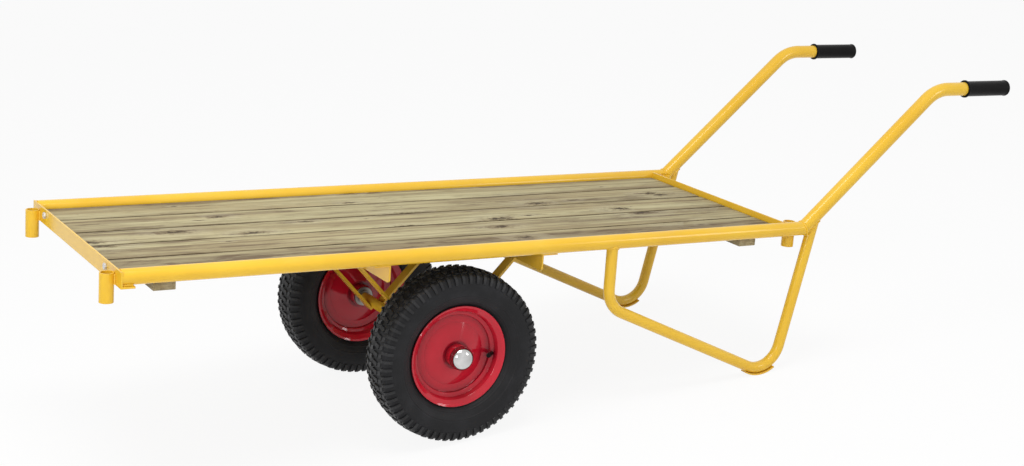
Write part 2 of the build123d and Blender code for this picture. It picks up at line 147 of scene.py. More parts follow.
print("helpers draw nodes, sums and mixes")

# %% Helpers for textures, groups and materials
bevel_samples, recess_samples = 4, 8


def speckle(tree, vector, scale, detail=3.0, roughness=0.55, distortion=0.0):
    """A noise value."""
    ins = {"Vector": vector, "Scale": scale, "Detail": detail,
           "Roughness": roughness, "Distortion": distortion}
    return add(tree, "TexNoise", ins)


def stretched(tree, vector, scales):
    """A point with each of its directions scaled."""
    return add(tree, "Mapping", {0: vector, 3: scales})


def new_tree(family, name, inputs, outputs):
    """An empty node tree with named sockets, and the sockets at its two ends."""
    tree = bpy.data.node_groups.new(name, family + "NodeTree")
    for way, sockets in (("INPUT", inputs), ("OUTPUT", outputs)):
        for label, kind in sockets.items():
            tree.interface.new_socket(name=label, in_out=way, socket_type="NodeSocket" + kind)
    return tree, tree.nodes.new("NodeGroupInput").outputs, tree.nodes.new("NodeGroupOutput").inputs


def group(name, outputs, **numbers):
    """An empty shader group that takes a point and some numbers, each with its usual value."""
    kinds = {"Vector": "Vector", **dict.fromkeys(numbers, "Float")}
    made = new_tree("Shader", name, kinds, dict.fromkeys(outputs, "Float"))
    for label, usual in numbers.items():
        made[0].interface.items_tree[label].default_value = usual
    return made


def place(tree, shader_group, **values):
    """Puts a group into a material."""
    return add(tree, "Group", values, node_tree=shader_group)


def surface(name, **constants):
    """A new material with its shader; constants go on the shader's own sockets."""
    made = bpy.data.materials.new(name)
    made.use_nodes = True
    shader = made.node_tree.nodes["Principled BSDF"]
    for label, value in constants.items():
        shader.inputs[label.replace("_", " ")].default_value = value
    return made, made.node_tree, shader


def object_place(tree):
    """The point on the piece, in metres."""
    return add(tree, "TexCoord").outputs["Object"]


def dressed(tree, shader, tone, rough, height, strength, distance, eased=0.0):
    """Gives a shader its colour, roughness and raised height; eased rounds sharp edges a little."""
    bump = add(tree, "Bump", {"Height": height, "Strength": strength, "Distance": distance})
    if eased:
        rounded = add(tree, "Bevel", {"Radius": eased}, samples=bevel_samples)
        feed(tree, bump.inputs["Normal"], rounded)
    for label, value in (("Base Color", tone), ("Roughness", rough), ("Normal", bump)):
        feed(tree, shader.inputs[label], value)


print("helpers make groups and materials")

# %% [markdown]
# ## Effects that several finishes share
#
# Dust lies on what faces up, paint thins on sharp edges, and a sprayed coat has the faint
# ripple of orange peel. Each is one group, so that every material can hold it at its own strength.

# %% Settled dust
dust_tree, dust_in, dust_out = group("Settled dust", ["Mask"], Scale=14.0, Amount=0.3)
normal = add(dust_tree, "NewGeometry").outputs["Normal"]
facing_up = add(dust_tree, "SeparateXYZ", {0: normal}).outputs[2]
lying = between(dust_tree, facing_up, 0.1, 0.95)
patches = speckle(dust_tree, dust_in["Vector"], dust_in["Scale"], 6.0)
settled = times(dust_tree, lying, between(dust_tree, patches, 0.35, 0.7))
settled = times(dust_tree, settled, dust_in["Amount"], True)
feed(dust_tree, dust_out["Mask"], settled)
print("dust group:", len(dust_tree.nodes), "nodes")

# %% Worn edges
wear_tree, wear_in, wear_out = group("Worn edges", ["Mask"], Width=0.0015, Amount=0.5)
rounded = add(wear_tree, "Bevel", {"Radius": wear_in["Width"]}, samples=bevel_samples)
normal = add(wear_tree, "NewGeometry").outputs["Normal"]
crease = add(wear_tree, "VectorMath", {0: rounded, 1: normal}, operation="DOT_PRODUCT")
broken = between(wear_tree, speckle(wear_tree, wear_in["Vector"], 55.0, 5.0), 0.5, 0.66)
worn = times(wear_tree, between(wear_tree, crease.outputs["Value"], 0.985, 0.86), broken)
worn = times(wear_tree, worn, wear_in["Amount"], True)
feed(wear_tree, wear_out["Mask"], worn)
print("wear group:", len(wear_tree.nodes), "nodes")

# %% Sprayed coat
coat_tree, coat_in, coat_out = group("Sprayed coat", ["Tone", "Height", "Scuff"], Peel=420.0)
spot = coat_in["Vector"]
scuffs = speckle(coat_tree, stretched(coat_tree, spot, (9.0, 60.0, 60.0)), 3.0, 8.0)
feed(coat_tree, coat_out["Tone"], speckle(coat_tree, spot, 5.0, 4.0))
feed(coat_tree, coat_out["Height"], speckle(coat_tree, spot, coat_in["Peel"], 2.0))
feed(coat_tree, coat_out["Scuff"], between(coat_tree, scuffs, 0.6, 0.72))
print("coat group:", len(coat_tree.nodes), "nodes")

# %% [markdown]
# ## Painted steel
#
# The frame is a warm yellow powder coat and the wheels a clear red enamel. Both are glossy, so the
# studio's white shows in them, and both shift a little in tone from place to place. The plates
# wear pale at their edges, and painted shade darkens the wheels' recesses, so that their pressed steps read.
# An image of paint would need unwrapped meshes; noise placed in metres needs none.

# %% Yellow powder coat and red enamel
dust_tone, edge_wear, clear_air, closed_in = (0.55, 0.5, 0.42), 0.3, 1.0, 0.5
scuff_rough, dust_rough, peel_strength, peel_height = 0.06, 0.5, 0.1, 0.00006


def paint(name, tones, third, roughness, gloss, dust, eased=0.0, recess=0.0):
    """A sprayed finish in two tones; worn edges turn to a third tone, and recesses this deep darken to it as
    painted shade.
    """
    made, tree, shader = surface(name, IOR=1.5, Specular_IOR_Level=gloss)
    here = object_place(tree)
    coat = place(tree, coat_tree, Vector=here)
    grime = place(tree, dust_tree, Vector=here, Amount=dust)
    tone = blended(tree, between(tree, coat.outputs["Tone"], 0.3, 0.7), *tones)
    if eased:
        edges = place(tree, wear_tree, Vector=here, Amount=edge_wear)
        tone = blended(tree, edges, tone, third)
    if recess:
        # Painted shade: ambient occlusion darkens recesses toward the third tone.
        air = add(tree, "AmbientOcclusion", {"Distance": recess}, samples=recess_samples)
        tone = blended(tree, between(tree, air.outputs["AO"], clear_air, closed_in), tone, third)
    tone = blended(tree, grime, tone, dust_tone)
    rough = plus(tree, times(tree, coat.outputs["Scuff"], scuff_rough), roughness)
    rough = plus(tree, rough, times(tree, grime, dust_rough), True)
    dressed(tree, shader, tone, rough, coat.outputs["Height"], peel_strength, peel_height, eased)
    return made


yellow_tones, primer = ((0.785, 0.462, 0.027), (0.835, 0.52, 0.038)), (0.98, 0.74, 0.27)
# The red's third tone is painted shade for the wheels' recesses.
red_tones, red_recess_shade = ((0.49, 0.008, 0.022), (0.56, 0.011, 0.029)), (0.15, 0.002, 0.009)
yellow = paint("yellow_tube_coat", yellow_tones, primer, 0.18, 0.36, 0.05)
yellow_plate = paint("yellow_plate_coat", yellow_tones, primer, 0.2, 0.45, 0.05, eased=0.0012)
red = paint("red_wheel_enamel", red_tones, red_recess_shade, 0.07, 0.36, 0.03, recess=0.035)
print("paints:", yellow.name, yellow_plate.name, red.name)

# %% [markdown]
# ## Bright and plated metal
#
# Zinc plating has a soft cloudy crystal pattern, a pressed axle cap is bright chrome with a few dark
# patches of painted reflection, and ground steel, on the bearings, collars and washers, is darker and finer. One
# maker draws all three, since only their tones, gloss and the size of their clouds differ.

# %% Zinc, chrome and ground steel
metal_dust, cloud_strength, cloud_height = (0.4, 0.37, 0.33), 0.05, 0.0003


def metal(name, colour, dark, roughness, spread, scale, dust):
    """Bare metal whose colour and gloss drift in small clouds."""
    made, tree, shader = surface(name, Metallic=1.0)
    here = object_place(tree)
    crystals = add(tree, "TexVoronoi", {"Vector": here, "Scale": scale}).outputs["Distance"]
    cloud = plus(tree, crystals, speckle(tree, here, scale * 0.4, 5.0))
    cloud = times(tree, cloud, 0.6, True)
    grime = place(tree, dust_tree, Vector=here, Amount=dust)
    tone = blended(tree, grime, blended(tree, cloud, dark, colour), metal_dust)
    rough = plus(tree, times(tree, cloud, spread), roughness, True)
    dressed(tree, shader, tone, rough, cloud, cloud_strength, cloud_height)
    return made


zinc = metal("zinc_plate", (0.72, 0.73, 0.74), (0.5, 0.51, 0.53), 0.28, 0.2, 260.0, 0.15)
# On the chrome, the dark clouds are painted reflection of a dark surround.
chrome = metal("cap_chrome", (0.74, 0.735, 0.73), (0.2, 0.195, 0.19), 0.04, 0.04, 34.0, 0.02)
ground = metal("ground_steel", (0.36, 0.345, 0.32), (0.22, 0.21, 0.2), 0.34, 0.2, 400.0, 0.2)
print("metals:", zinc.name, chrome.name, ground.name)

# %% [markdown]
# ## Rubber
#
# The tyres are matt black with a faint grey bloom in patches, a shade paler on the tread. The grips
# are blacker and smoother. Their moulded grain is too fine to model, so it is a bump.

# %% Tyre, tread and grip rubber
rubber_dust, grain_rough, grain_raise = (0.1, 0.095, 0.085), 0.18, 0.2


def rubber(name, colour, bloom, roughness, gloss, grain, depth, dust):
    """Black rubber with a pale bloom in patches and a fine moulded grain."""
    made, tree, shader = surface(name, Specular_IOR_Level=gloss)
    here = object_place(tree)
    blotch = between(tree, speckle(tree, here, 22.0, 6.0), 0.4, 0.75)
    grime = place(tree, dust_tree, Vector=here, Scale=40.0, Amount=dust)
    fine = speckle(tree, here, grain, 3.0)
    tone = blended(tree, grime, blended(tree, blotch, colour, bloom), rubber_dust)
    rough = plus(tree, times(tree, fine, grain_rough), roughness, True)
    dressed(tree, shader, tone, rough, fine, grain_raise, depth)
    return made


rubbers = {
    "tyre_rubber": ((0.01, 0.01, 0.011), (0.017, 0.017, 0.019), 0.42, 0.2, 500.0, 0.0006, 0.05),
    "tread_rubber": ((0.015, 0.015, 0.016), (0.026, 0.026, 0.028), 0.36, 0.26, 500.0, 0.0006, 0.05),
    "grip_rubber": ((0.006, 0.006, 0.006), (0.009, 0.0085, 0.0085), 0.24, 0.07, 900.0, 0.0002, 0.02),
}
tyre_black, tread_black, grip_black = [rubber(name, *looks) for name, looks in rubbers.items()]
print("rubbers:", ", ".join(rubbers))

# %% [markdown]
# ## Pressure-treated pine
#
# The deck is planed softwood with a greenish cast. An image of wood would repeat from board to board,
# so it is drawn. Four things make it read as wood: growth rings cut by the board's faces, fine fibres
# along it, brown heartwood, and knots that the rings bend round. One group draws all four from a
# point in the board: along it, across it and through it, in metres. The near board was sawn near the
# heart of the log, so a dark band lies along it, and painted shade darkens the far board along the rail; both are
# placed by their distance from the deck's middle.

# %% Knots in the softwood group
log_step, middle_board = 7.31, 3
board_pitch = (middle(extent("deck_board_2")[1]) - middle(extent("deck_board_1")[1])) / 1000
figure_parts = ["Late wood", "Streak", "Stain", "Heart", "Knot", "Pale ring", "Height"]
wood_tree, wood_in, wood_out = group("Softwood figure", figure_parts, Rings=190.0)
in_board = wood_in["Vector"]
wood_tools = [partial(tool, wood_tree) for tool in (add, sums, times, plus, between)]
wood, reckon, product, total, ease = wood_tools


def figure(scales, *looks):
    """Noise in the board, with each of its directions scaled."""
    return speckle(wood_tree, stretched(wood_tree, in_board, scales), *looks)


cells = wood("TexVoronoi", {"Vector": in_board, "Scale": 5.2}, voronoi_dimensions="2D").outputs
from_knot = wood("VectorMath", {0: in_board, 1: cells["Position"]}, operation="SUBTRACT")
chance = wood("SeparateColor", {0: cells["Color"]})
knot_size = ease(chance, 0.1, 1.0, 0.001, 0.0125)
ragged = ease(figure((0.4, 1.0, 1.0), 190.0, 4.0, 0.7), 0.3, 0.7, -0.8, 0.8)


def gap_to_knot(scales):
    """Distance to the nearest knot in knot sizes, with each direction scaled."""
    away = wood("VectorMath", {0: stretched(wood_tree, from_knot, scales)}, operation="LENGTH")
    return total(reckon("DIVIDE", away.outputs["Value"], knot_size), ragged)


round_gap = gap_to_knot((0.5, 1.0, 0.0))
long_gap = gap_to_knot((0.17, 1.0, 0.0))
knot = ease(round_gap, 1.1, 0.3)
pale_ring = product(ease(round_gap, 1.2, 2.2), ease(round_gap, 5.0, 2.4))
tail = ease(long_gap, 2.1, 0.2)
print("knots drawn:", len(wood_tree.nodes), "nodes")

# %% Growth rings
pith_depth, ring_waver = 0.055, 0.012
board_x, board_y, board_z = wood("SeparateXYZ", {0: in_board}).outputs
knot_side = wood("SeparateXYZ", {0: from_knot}).outputs[1]
lane = reckon("SUBTRACT", board_y, product(knot_side, ease(long_gap, 7.0, 0.5, 0.0, 0.85)))
lane = total(lane, ease(figure((0.55, 0.0, 0.0), 1.0, 2.0), 0.2, 0.8, -0.05, 0.05))
below = total(board_z, pith_depth)
squares = [reckon("POWER", reckon("ABSOLUTE", way), 2.0) for way in (lane, below)]
uneven = product(figure((1.4, 16.0, 16.0), 1.0, 3.0), ring_waver)
ring_radius = total(reckon("SQRT", total(*squares)), uneven)
season = reckon("FRACT", product(ring_radius, wood_in["Rings"]))
late = product(ease(season, 0.3, 0.92), ease(season, 1.0, 0.93))
print("rings drawn:", len(wood_tree.nodes), "nodes")

# %% Fibres, stains and heartwood
# The near band is heartwood; the far band is painted shade where the far rail meets the deck.
near_band, far_rail_shade = (-0.184, -0.204, -0.262, -0.24), (0.254, 0.276, 0.3, 0.29)
fibre = figure((6.0, 420.0, 420.0), 1.0, 5.0, 0.65)
streak = ease(figure((1.5, 75.0, 75.0), 1.0, 5.0, 0.62), 0.4, 0.64)
heart = ease(figure((0.8, 21.0, 12.0), 1.0, 4.0, 0.6, 0.6), 0.5, 0.66)
stain = ease(figure((9.0, 46.0, 46.0), 1.0, 7.0, 0.68, 0.4), 0.46, 0.68)
damp = figure((1.7, 9.0, 0.0), 1.0, 3.0, 0.6)
edge = product(ease(reckon("ABSOLUTE", board_y), 0.026, 0.055), ease(damp, 0.44, 0.62))
boards_off = reckon("SUBTRACT", reckon("ROUND", reckon("DIVIDE", board_x, log_step)), middle_board)
on_deck = total(product(boards_off, board_pitch), board_y)
heart_and_rail_shade = [product(ease(on_deck, *band[:2]), ease(on_deck, *band[2:]))
         for band in (near_band, far_rail_shade)]
heart_and_rail_shade = product(reckon("MAXIMUM", *heart_and_rail_shade), ease(damp, 0.26, 0.46, 0.35, 1.0))
# The heart mask also carries the painted shade along the far rail.
for darker in (tail, edge, heart_and_rail_shade):
    heart = reckon("MAXIMUM", heart, darker)
heart = product(heart, ease(stain, 0.0, 0.6, 0.6, 1.0))
grain = total(late, fibre)
late_wood, raised = product(grain, 0.6, True), reckon("SUBTRACT", grain, knot)
drawn = (late_wood, streak, stain, heart, knot, pale_ring, raised)
for part, value in zip(figure_parts, drawn):
    feed(wood_tree, wood_out[part], value)
print("wood group:", wood_tree.name, "with", len(wood_tree.nodes), "nodes")

# %% [markdown]
# A board's material reads an attribute of its own mesh, its place in the log. Each board lies
# further along that log than the last, as if it were sawn from another stretch, so no two boards
# are alike. Dirt and painted shade darken the board where its rounded edges drop below the top, which draws the
# joints.

# %% Timber for boards and battens
board_top = gauge(extent("deck_board_1")[2]) / 2000
joint_dirt_and_shade = (0.035, 0.022, 0.011)
wood_rough, late_shine, grain_strength, grain_height = 0.74, 0.16, 0.35, 0.0008


def timber(name, pale, warm, heart_and_shade_brown, dirt_and_shade_strength):
    """Softwood in three tones with knots, raised grain, and dirt with painted shade below the board's top."""
    made, tree, shader = surface(name, Specular_IOR_Level=0.12)
    log = add(tree, "Attribute", attribute_name="log").outputs["Vector"]
    parts = place(tree, wood_tree, Vector=log).outputs
    tint = between(tree, speckle(tree, stretched(tree, log, (1.0, 9.0, 9.0)), 1.6, 3.0), 0.3, 0.7)
    tone = blended(tree, tint, pale, warm)
    layers = (("Streak", 0.5, (0.18, 0.135, 0.075)), ("Stain", 0.5, (0.18, 0.137, 0.078)),
              ("Heart", 0.82, heart_and_shade_brown), ("Late wood", 0.24, (0.17, 0.115, 0.055)),
              ("Pale ring", 0.18, (0.6, 0.55, 0.39)), ("Knot", 0.92, (0.04, 0.025, 0.015)))
    for part, weight, colour in layers:
        tone = blended(tree, times(tree, parts[part], weight), tone, colour)
    depth = add(tree, "SeparateXYZ", {0: log}).outputs[2]
    patch_noise = speckle(tree, stretched(tree, log, (5.0, 0.0, 0.0)), 1.0, 4.0)
    patchy_dirt_and_shade = between(tree, patch_noise, 0.35, 0.6, 0.5 * dirt_and_shade_strength, dirt_and_shade_strength)
    # Dirt and painted shade: the board darkens where it drops below its top, except near its underside.
    joint = times(tree, between(tree, depth, board_top - 0.0002, board_top - 0.0013), patchy_dirt_and_shade)
    joint = times(tree, joint, between(tree, depth, 0.001 - board_top, 0.004 - board_top))
    tone = blended(tree, joint, tone, joint_dirt_and_shade)
    rough = sums(tree, "SUBTRACT", wood_rough, times(tree, parts["Late wood"], late_shine), True)
    dressed(tree, shader, tone, rough, parts["Height"], grain_strength, grain_height)
    return made


deck_wood = timber("treated_pine_deck", (0.57, 0.52, 0.31), (0.44, 0.37, 0.21), (0.105, 0.067, 0.042), 1.0)
batten_wood = timber("treated_pine_batten", (0.48, 0.42, 0.26), (0.38, 0.31, 0.17), (0.2, 0.15, 0.085), 0.0)
print("timbers:", deck_wood.name, batten_wood.name)

# %% [markdown]
# ## Finishes on the solids that stay
#
# A CAD solid whose shape is already right keeps its mesh and only gets a finish. The record says
# which slot each node has.

# %% Give every kept solid its finish
finishes = {
    "yellow_paint": yellow, "red_paint": red, "tyre_rubber": tyre_black, "tube_rubber": tyre_black,
    "valve_rubber": grip_black, "cap_plastic": grip_black, "grip_rubber": grip_black, "cap_chrome": chrome,
    "bearing_steel": ground, "zinc_steel": zinc, "deck_timber": deck_wood, "batten_timber": batten_wood,
}
plate_words = ("crossmember", "strut", "shoe")
slots = {part["node"]: part["material_slot"] for part in frame["record"]["subparts"]}
for node_name, solid in frame["nodes"].items():
    finish = finishes[slots[node_name]]
    if any(word in node_name for word in plate_words):
        finish = yellow_plate
    if node_name in ("hub_washers", "axle_collars"):
        finish = ground
    solid.data.materials.clear()
    solid.data.materials.append(finish)
print("finished solids:", len(slots))

# %% [markdown]
# ## Turned pieces
#
# Tyres, grips and axle caps are round, so each is a profile spun about a line, as on a lathe. A
# profile lists radius and height in millimetres, in the order a finger would trace it.

# %% Helpers for meshes and turning


def tidy(mesh):
    """Merges doubled points and turns every face outward."""
    work = bmesh.new()
    work.from_mesh(mesh)
    bmesh.ops.remove_doubles(work, verts=work.verts, dist=1e-6)
    bmesh.ops.recalc_face_normals(work, faces=work.faces)
    work.to_mesh(mesh)
    work.free()


def put(name, data):
    """A new object in the scene, at the origin."""
    made = bpy.data.objects.new(name, data)
    stage.collection.objects.link(made)
    return made


def kept(made):
    """Makes what an object's modifiers build its own plain mesh."""
    graph = bpy.context.evaluated_depsgraph_get()
    result = bpy.data.meshes.new_from_object(made.evaluated_get(graph))
    made.modifiers.clear()
    made.data = result


def piece(name, points, faces, finish, sharp=32):
    """A finished mesh object at the origin."""
    mesh = bpy.data.meshes.new(name)
    mesh.from_pydata([tuple(spot) for spot in points], [], faces)
    tidy(mesh)
    mesh.materials.append(finish)
    mesh.shade_smooth()
    mesh.set_sharp_from_angle(angle=math.radians(sharp))
    return put(name, mesh)


def stands_for(made, body, *nodes):
    """Says which body a piece rides on, and which solids it is seen instead of."""
    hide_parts(*nodes)
    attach(made, body)


def bridge(near, far, count, closed=True):
    """Faces between two loops of points, from the number of each loop's first point."""
    steps = range(count if closed else count - 1)
    return [(near + i, far + i, far + (i + 1) % count, near + (i + 1) % count) for i in steps]


def full_turn(steps):
    """Angles spread evenly round a circle."""
    return [2 * math.pi * step / steps for step in range(steps)]


def turned(profile, centre, outward, steps, closed=False):
    """Points and faces of a profile spun about a line."""
    first = outward.orthogonal().normalized()
    second = outward.cross(first)
    points, faces = [], []
    for angle in full_turn(steps):
        ray = first * math.cos(angle) + second * math.sin(angle)
        points += [centre + (ray * radius + outward * height) / 1000 for radius, height in profile]
    count = len(profile)
    for step in range(steps):
        faces += bridge(step * count, (step + 1) % steps * count, count, closed)
    return points, faces


print("helpers make meshes and turn profiles")

# %% An arc for profiles


def through(first, second, last, count):
    """Points along the circle that passes through three points."""
    (ax, ay), (bx, by), (cx, cy) = first, second, last
    d = 2 * (ax * (by - cy) + bx * (cy - ay) + cx * (ay - by))
    a, b, c = ax * ax + ay * ay, bx * bx + by * by, cx * cx + cy * cy
    ux = (a * (by - cy) + b * (cy - ay) + c * (ay - by)) / d
    uy = (a * (cx - bx) + b * (ax - cx) + c * (bx - ax)) / d
    radius = math.hypot(ax - ux, ay - uy)
    start, end = math.atan2(ay - uy, ax - ux), math.atan2(cy - uy, cx - ux)
    angles = [start + (end - start) * i / count for i in range(count + 1)]
    return [(ux + radius * math.cos(angle), uy + radius * math.sin(angle)) for angle in angles]


print("arcs drawn through three points")

# %% [markdown]
# ## Tyres
#
# A barrow tyre is cured in a mould: a smooth carcass with a few fine rings on its side wall, and a
# tread that repeats one pitch all the way round. The carcass is turned. Grooves could be cut into it,
# but blocks set on it are cleaner: one pitch is drawn, with two slanted crown blocks, two
# side blocks and two lugs that run over the shoulders.

# %% The carcass
rings_on_wall = {148.5: 0.4, 144.0: 0.9, 129.0: 1.0, 125.0: 0.6}
ring_width, wall_steps, carcass_steps = 0.9, 64, 144
crown = [(195.6, 0), (195.4, 10), (194.6, 22), (193.0, 34), (190.8, 40.4)]
bead = [(113.5, 26.9), (107.2, 22.6), (104.9, 19.2), (102.5, 12.0), (123.9, 20.5)]
inside = [(150, 40), (182, 30), (185.5, 10)]
wall = []
for radius, offset in through((187.3, 43.6), (154.5, 49.6), (119.9, 28.5), wall_steps):
    rises = [height * math.exp(-(((radius - ring) / ring_width) ** 2))
             for ring, height in rings_on_wall.items()]
    wall.append((radius, offset + sum(rises)))
half = crown + wall + bead + inside
carcass = half + [(radius, -offset) for radius, offset in reversed(half) if offset > 0]
for side, sign in sides.items():
    shape = turned(carcass, axle + crosswise * sign * track, crosswise, carcass_steps, closed=True)
    made = piece(f"tyre_carcass_{side}", *shape, tyre_black, sharp=50)
    stands_for(made, f"{side}_wheel", f"tyre_{side}")
print("carcass profile points:", len(carcass))

# %% One pitch of the tread
pitches = 64
tread_radius = 196
half_pitch = math.pi * tread_radius / pitches
pitch_points, pitch_faces = [], []


def moulded(radius, across, round_by):
    """A point of the pitch: distance from the axle, across the tread, and round it."""
    angle = round_by / tread_radius
    return (radius * math.cos(angle) / 1000, across / 1000, radius * math.sin(angle) / 1000)


def solid_between(lower, upper):
    """Joins two loops of points into a closed block."""
    start, count = len(pitch_points), len(lower)
    pitch_points.extend(lower + upper)
    pitch_faces.append(tuple(start + i for i in range(count)))
    pitch_faces.append(tuple(start + count + i for i in range(count)))
    pitch_faces.extend(bridge(start, start + count, count))


print("one pitch of", pitches, "is", round(2 * half_pitch, 1), "mm long")

# %% Blocks and shoulder lugs of the pitch
crown_block = [(1.4, -7.2), (17.6, -3.6), (20.0, 1.2), (17.6, 6.6), (1.4, 3.0), (3.9, -2.1)]
side_block = [(22.2, -3.2), (33.4, -7.4), (33.4, 4.0), (22.2, 8.0)]
lug = [(190, 34.6), (195.8, 35.4), (194.6, 40.2), (191.2, 45.2), (186, 48.6), (179, 50.8), (174, 50.9),
       (172, 47.6), (183, 41)]
lug_half, block_taper, tread_half = 3.5, 0.88, 38
floor_radius, floor_fall, top_radius, top_fall = 191, 3, 199.7, 5
for sign in sides.values():
    shift = half_pitch * (sign + 1) / 2
    for outline in (crown_block, side_block):
        mid = [sum(values) / len(outline) for values in zip(*outline)]
        top = [[at + block_taper * (far - at) for far, at in zip(corner, mid)] for corner in outline]
        levels = ((outline, floor_radius, floor_fall), (top, top_radius, top_fall))
        solid_between(*[[moulded(radius - fall * across / tread_half, sign * across, round_by + shift)
                         for across, round_by in loop] for loop, radius, fall in levels])
    ends = [[moulded(radius, sign * across, shift + half_pitch + edge) for radius, across in lug]
            for edge in (-lug_half, lug_half)]
    solid_between(*ends)
pitch = piece("tread_pitch", pitch_points, pitch_faces, tread_black, sharp=20)
print("faces in one pitch:", len(pitch.data.polygons))

# %% [markdown]
# Geometry Nodes then repeats that pitch about the axle: every copy sits on the wheel's centre, turned
# by its own share of a full turn, and the copies become one mesh.

# %% Helpers that grow geometry from a tree
geometry = partial(add, family="GeometryNode")


def tree_with(name, **inputs):
    """An empty geometry tree with named inputs beside its points and its finish."""
    kinds = {"Geometry": "Geometry", **inputs, "Finish": "Material"}
    return new_tree("Geometry", name, kinds, {"Geometry": "Geometry"})


def coated(tree, tree_in, tree_out, shape):
    """Ends a tree: copies become real faces and take their finish."""
    real = geometry(tree, "RealizeInstances", {0: shape})
    feed(tree, tree_out[0], geometry(tree, "SetMaterial", {0: real, "Material": tree_in["Finish"]}))


def copied(tree, tree_in, tree_out, points, turn):
    """Ends a tree with a turned copy of its block on each point."""
    block = geometry(tree, "ObjectInfo", {"Object": tree_in["Block"]}).outputs["Geometry"]
    copies = geometry(tree, "InstanceOnPoints", {"Points": points, "Instance": block, "Rotation": turn})
    coated(tree, tree_in, tree_out, copies)


def grown(name, tree, settings, points=(), edges=()):
    """Runs a tree on a few points and keeps the result as a plain mesh."""
    base = bpy.data.meshes.new(name)
    base.from_pydata([tuple(spot) for spot in points], list(edges), [])
    made = put(name, base)
    modifier = made.modifiers.new("grow", "NODES")
    modifier.node_group = tree
    for item in tree.interface.items_tree:
        if item.in_out == "INPUT" and item.name in settings:
            modifier[item.identifier] = settings[item.name]
    kept(made)
    made.data.name = name
    print(name, "has", len(made.data.polygons), "faces")
    return made


print("helpers grow meshes from trees")

# %% Tread on both wheels
around, around_in, around_out = tree_with("repeat_about_axle", Block="Object", Count="Int", Centre="Vector")
row = geometry(around, "Points", {"Count": around_in["Count"], "Position": around_in["Centre"]})
share = sums(around, "DIVIDE", geometry(around, "InputIndex"), around_in["Count"])
spun = add(around, "CombineXYZ", {"Y": times(around, share, 2 * math.pi)})
copied(around, around_in, around_out, row, spun)

for side, sign in sides.items():
    wheel_centre = axle + crosswise * sign * track
    settings = {"Block": pitch, "Count": pitches, "Centre": wheel_centre, "Finish": tread_black}
    tread = grown(f"tyre_tread_{side}", around, settings)
    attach(tread, f"{side}_wheel")
bpy.data.objects.remove(pitch)

# %% [markdown]
# ## Boards
#
# Planed boards are never perfectly straight: their edges are eased and waver a little. A bevelled box
# would look too true, so a plank is a rounded section carried along its length in many short steps,
# each a hair smaller or larger. Every plank also stores its own log coordinates for the grain.

# %% A plank maker
waver_size, end_ease, end_chamfer = 0.16, 1.0, 1.4
under_radius, board_edge, steps_along, steps_across = 1.2, 5.0, 90, 10
waver_along, waver_apart, waver_across, waver_through = 0.011, 9.1, 0.06, 0.3


def plank_section(width, thick, edge):
    """A board's outline, from its lower right corner round to its lower left."""
    section = []
    corners = [(1, -1, under_radius, 2), (1, 1, edge, 6), (-1, 1, edge, 6), (-1, -1, under_radius, 2)]
    for quarter, (right, top, radius, count) in enumerate(corners):
        for i in range(count + 1):
            angle = math.pi / 2 * (quarter - 1 + i / count)
            y = right * (width / 2 - radius) + radius * math.cos(angle)
            section.append((y, top * (thick / 2 - radius) + radius * math.sin(angle)))
        if (right, top) == (1, 1):
            flat = width / 2 - edge
            section += [(flat * (1 - 2 * i / steps_across), thick / 2) for i in range(1, steps_across)]
    return section


def plank(name, node, lengthwise, widthwise, edge, finish, log):
    """A board in place of a solid; edge is the radius of its top corners."""
    spans = extent(node)
    centre = cart(*map(middle, spans))
    reach, across, thick = map(gauge, spans)
    length, width = (reach, across) if lengthwise is along else (across, reach)
    upright = lengthwise.cross(widthwise)
    section = plank_section(width, thick, edge)
    between_ends = [length * i / steps_along for i in range(1, steps_along)]
    stations = [0, end_chamfer, *between_ends, length - end_chamfer, length]
    points, faces = [], []
    for number, station in enumerate(stations):
        ends = number in (0, len(stations) - 1)
        for y, z in section:
            spot = (station * waver_along + log * waver_apart, y * waver_across, z * waver_through)
            waver = noise.noise(Vector(spot))
            ease = waver_size * (1 + waver) + (end_ease if ends else 0)
            away = widthwise * (y - ease * y / width * 2) + upright * (z - ease * z / thick * 2)
            points.append(centre + (lengthwise * (station - length / 2) + away) / 1000)
    count = len(section)
    for near in range(0, count * (len(stations) - 1), count):
        faces += bridge(near, near + count, count)
    faces.append(tuple(range(count)))
    faces.append(tuple(len(points) - count + i for i in range(count)))
    return piece(name, points, faces, finish, sharp=40), (centre, lengthwise, widthwise, upright, log)


print("a board's section has", len(plank_section(100, 18, board_edge)), "points")

# %% Log coordinates and notches


def store_log(made, centre, lengthwise, widthwise, upright, log):
    """Writes each point's place in the log, in metres; each board starts further along it."""
    layer = made.data.attributes.new("log", "FLOAT_VECTOR", "POINT")
    for vertex, cell in zip(made.data.vertices, layer.data):
        away = vertex.co - centre
        cell.vector = (away.dot(lengthwise) + log * log_step, away.dot(widthwise), away.dot(upright))


def notched(made, centre, size):
    """Cuts a box out of a piece; the box lies along the cart."""
    box = bmesh.new()
    bmesh.ops.create_cube(box, size=1.0)
    turn_to = Matrix((along, crosswise, upward)).transposed()
    for vertex in box.verts:
        vertex.co = centre + turn_to @ Vector([vertex.co[i] * size[i] / 1000 for i in range(3)])
    cutter_mesh = bpy.data.meshes.new("cutter")
    box.to_mesh(cutter_mesh)
    box.free()
    cutter = put("cutter", cutter_mesh)
    made.modifiers.new("notch", "BOOLEAN").object = cutter
    kept(made)
    bpy.data.objects.remove(cutter)


print("helpers store the log and cut notches")

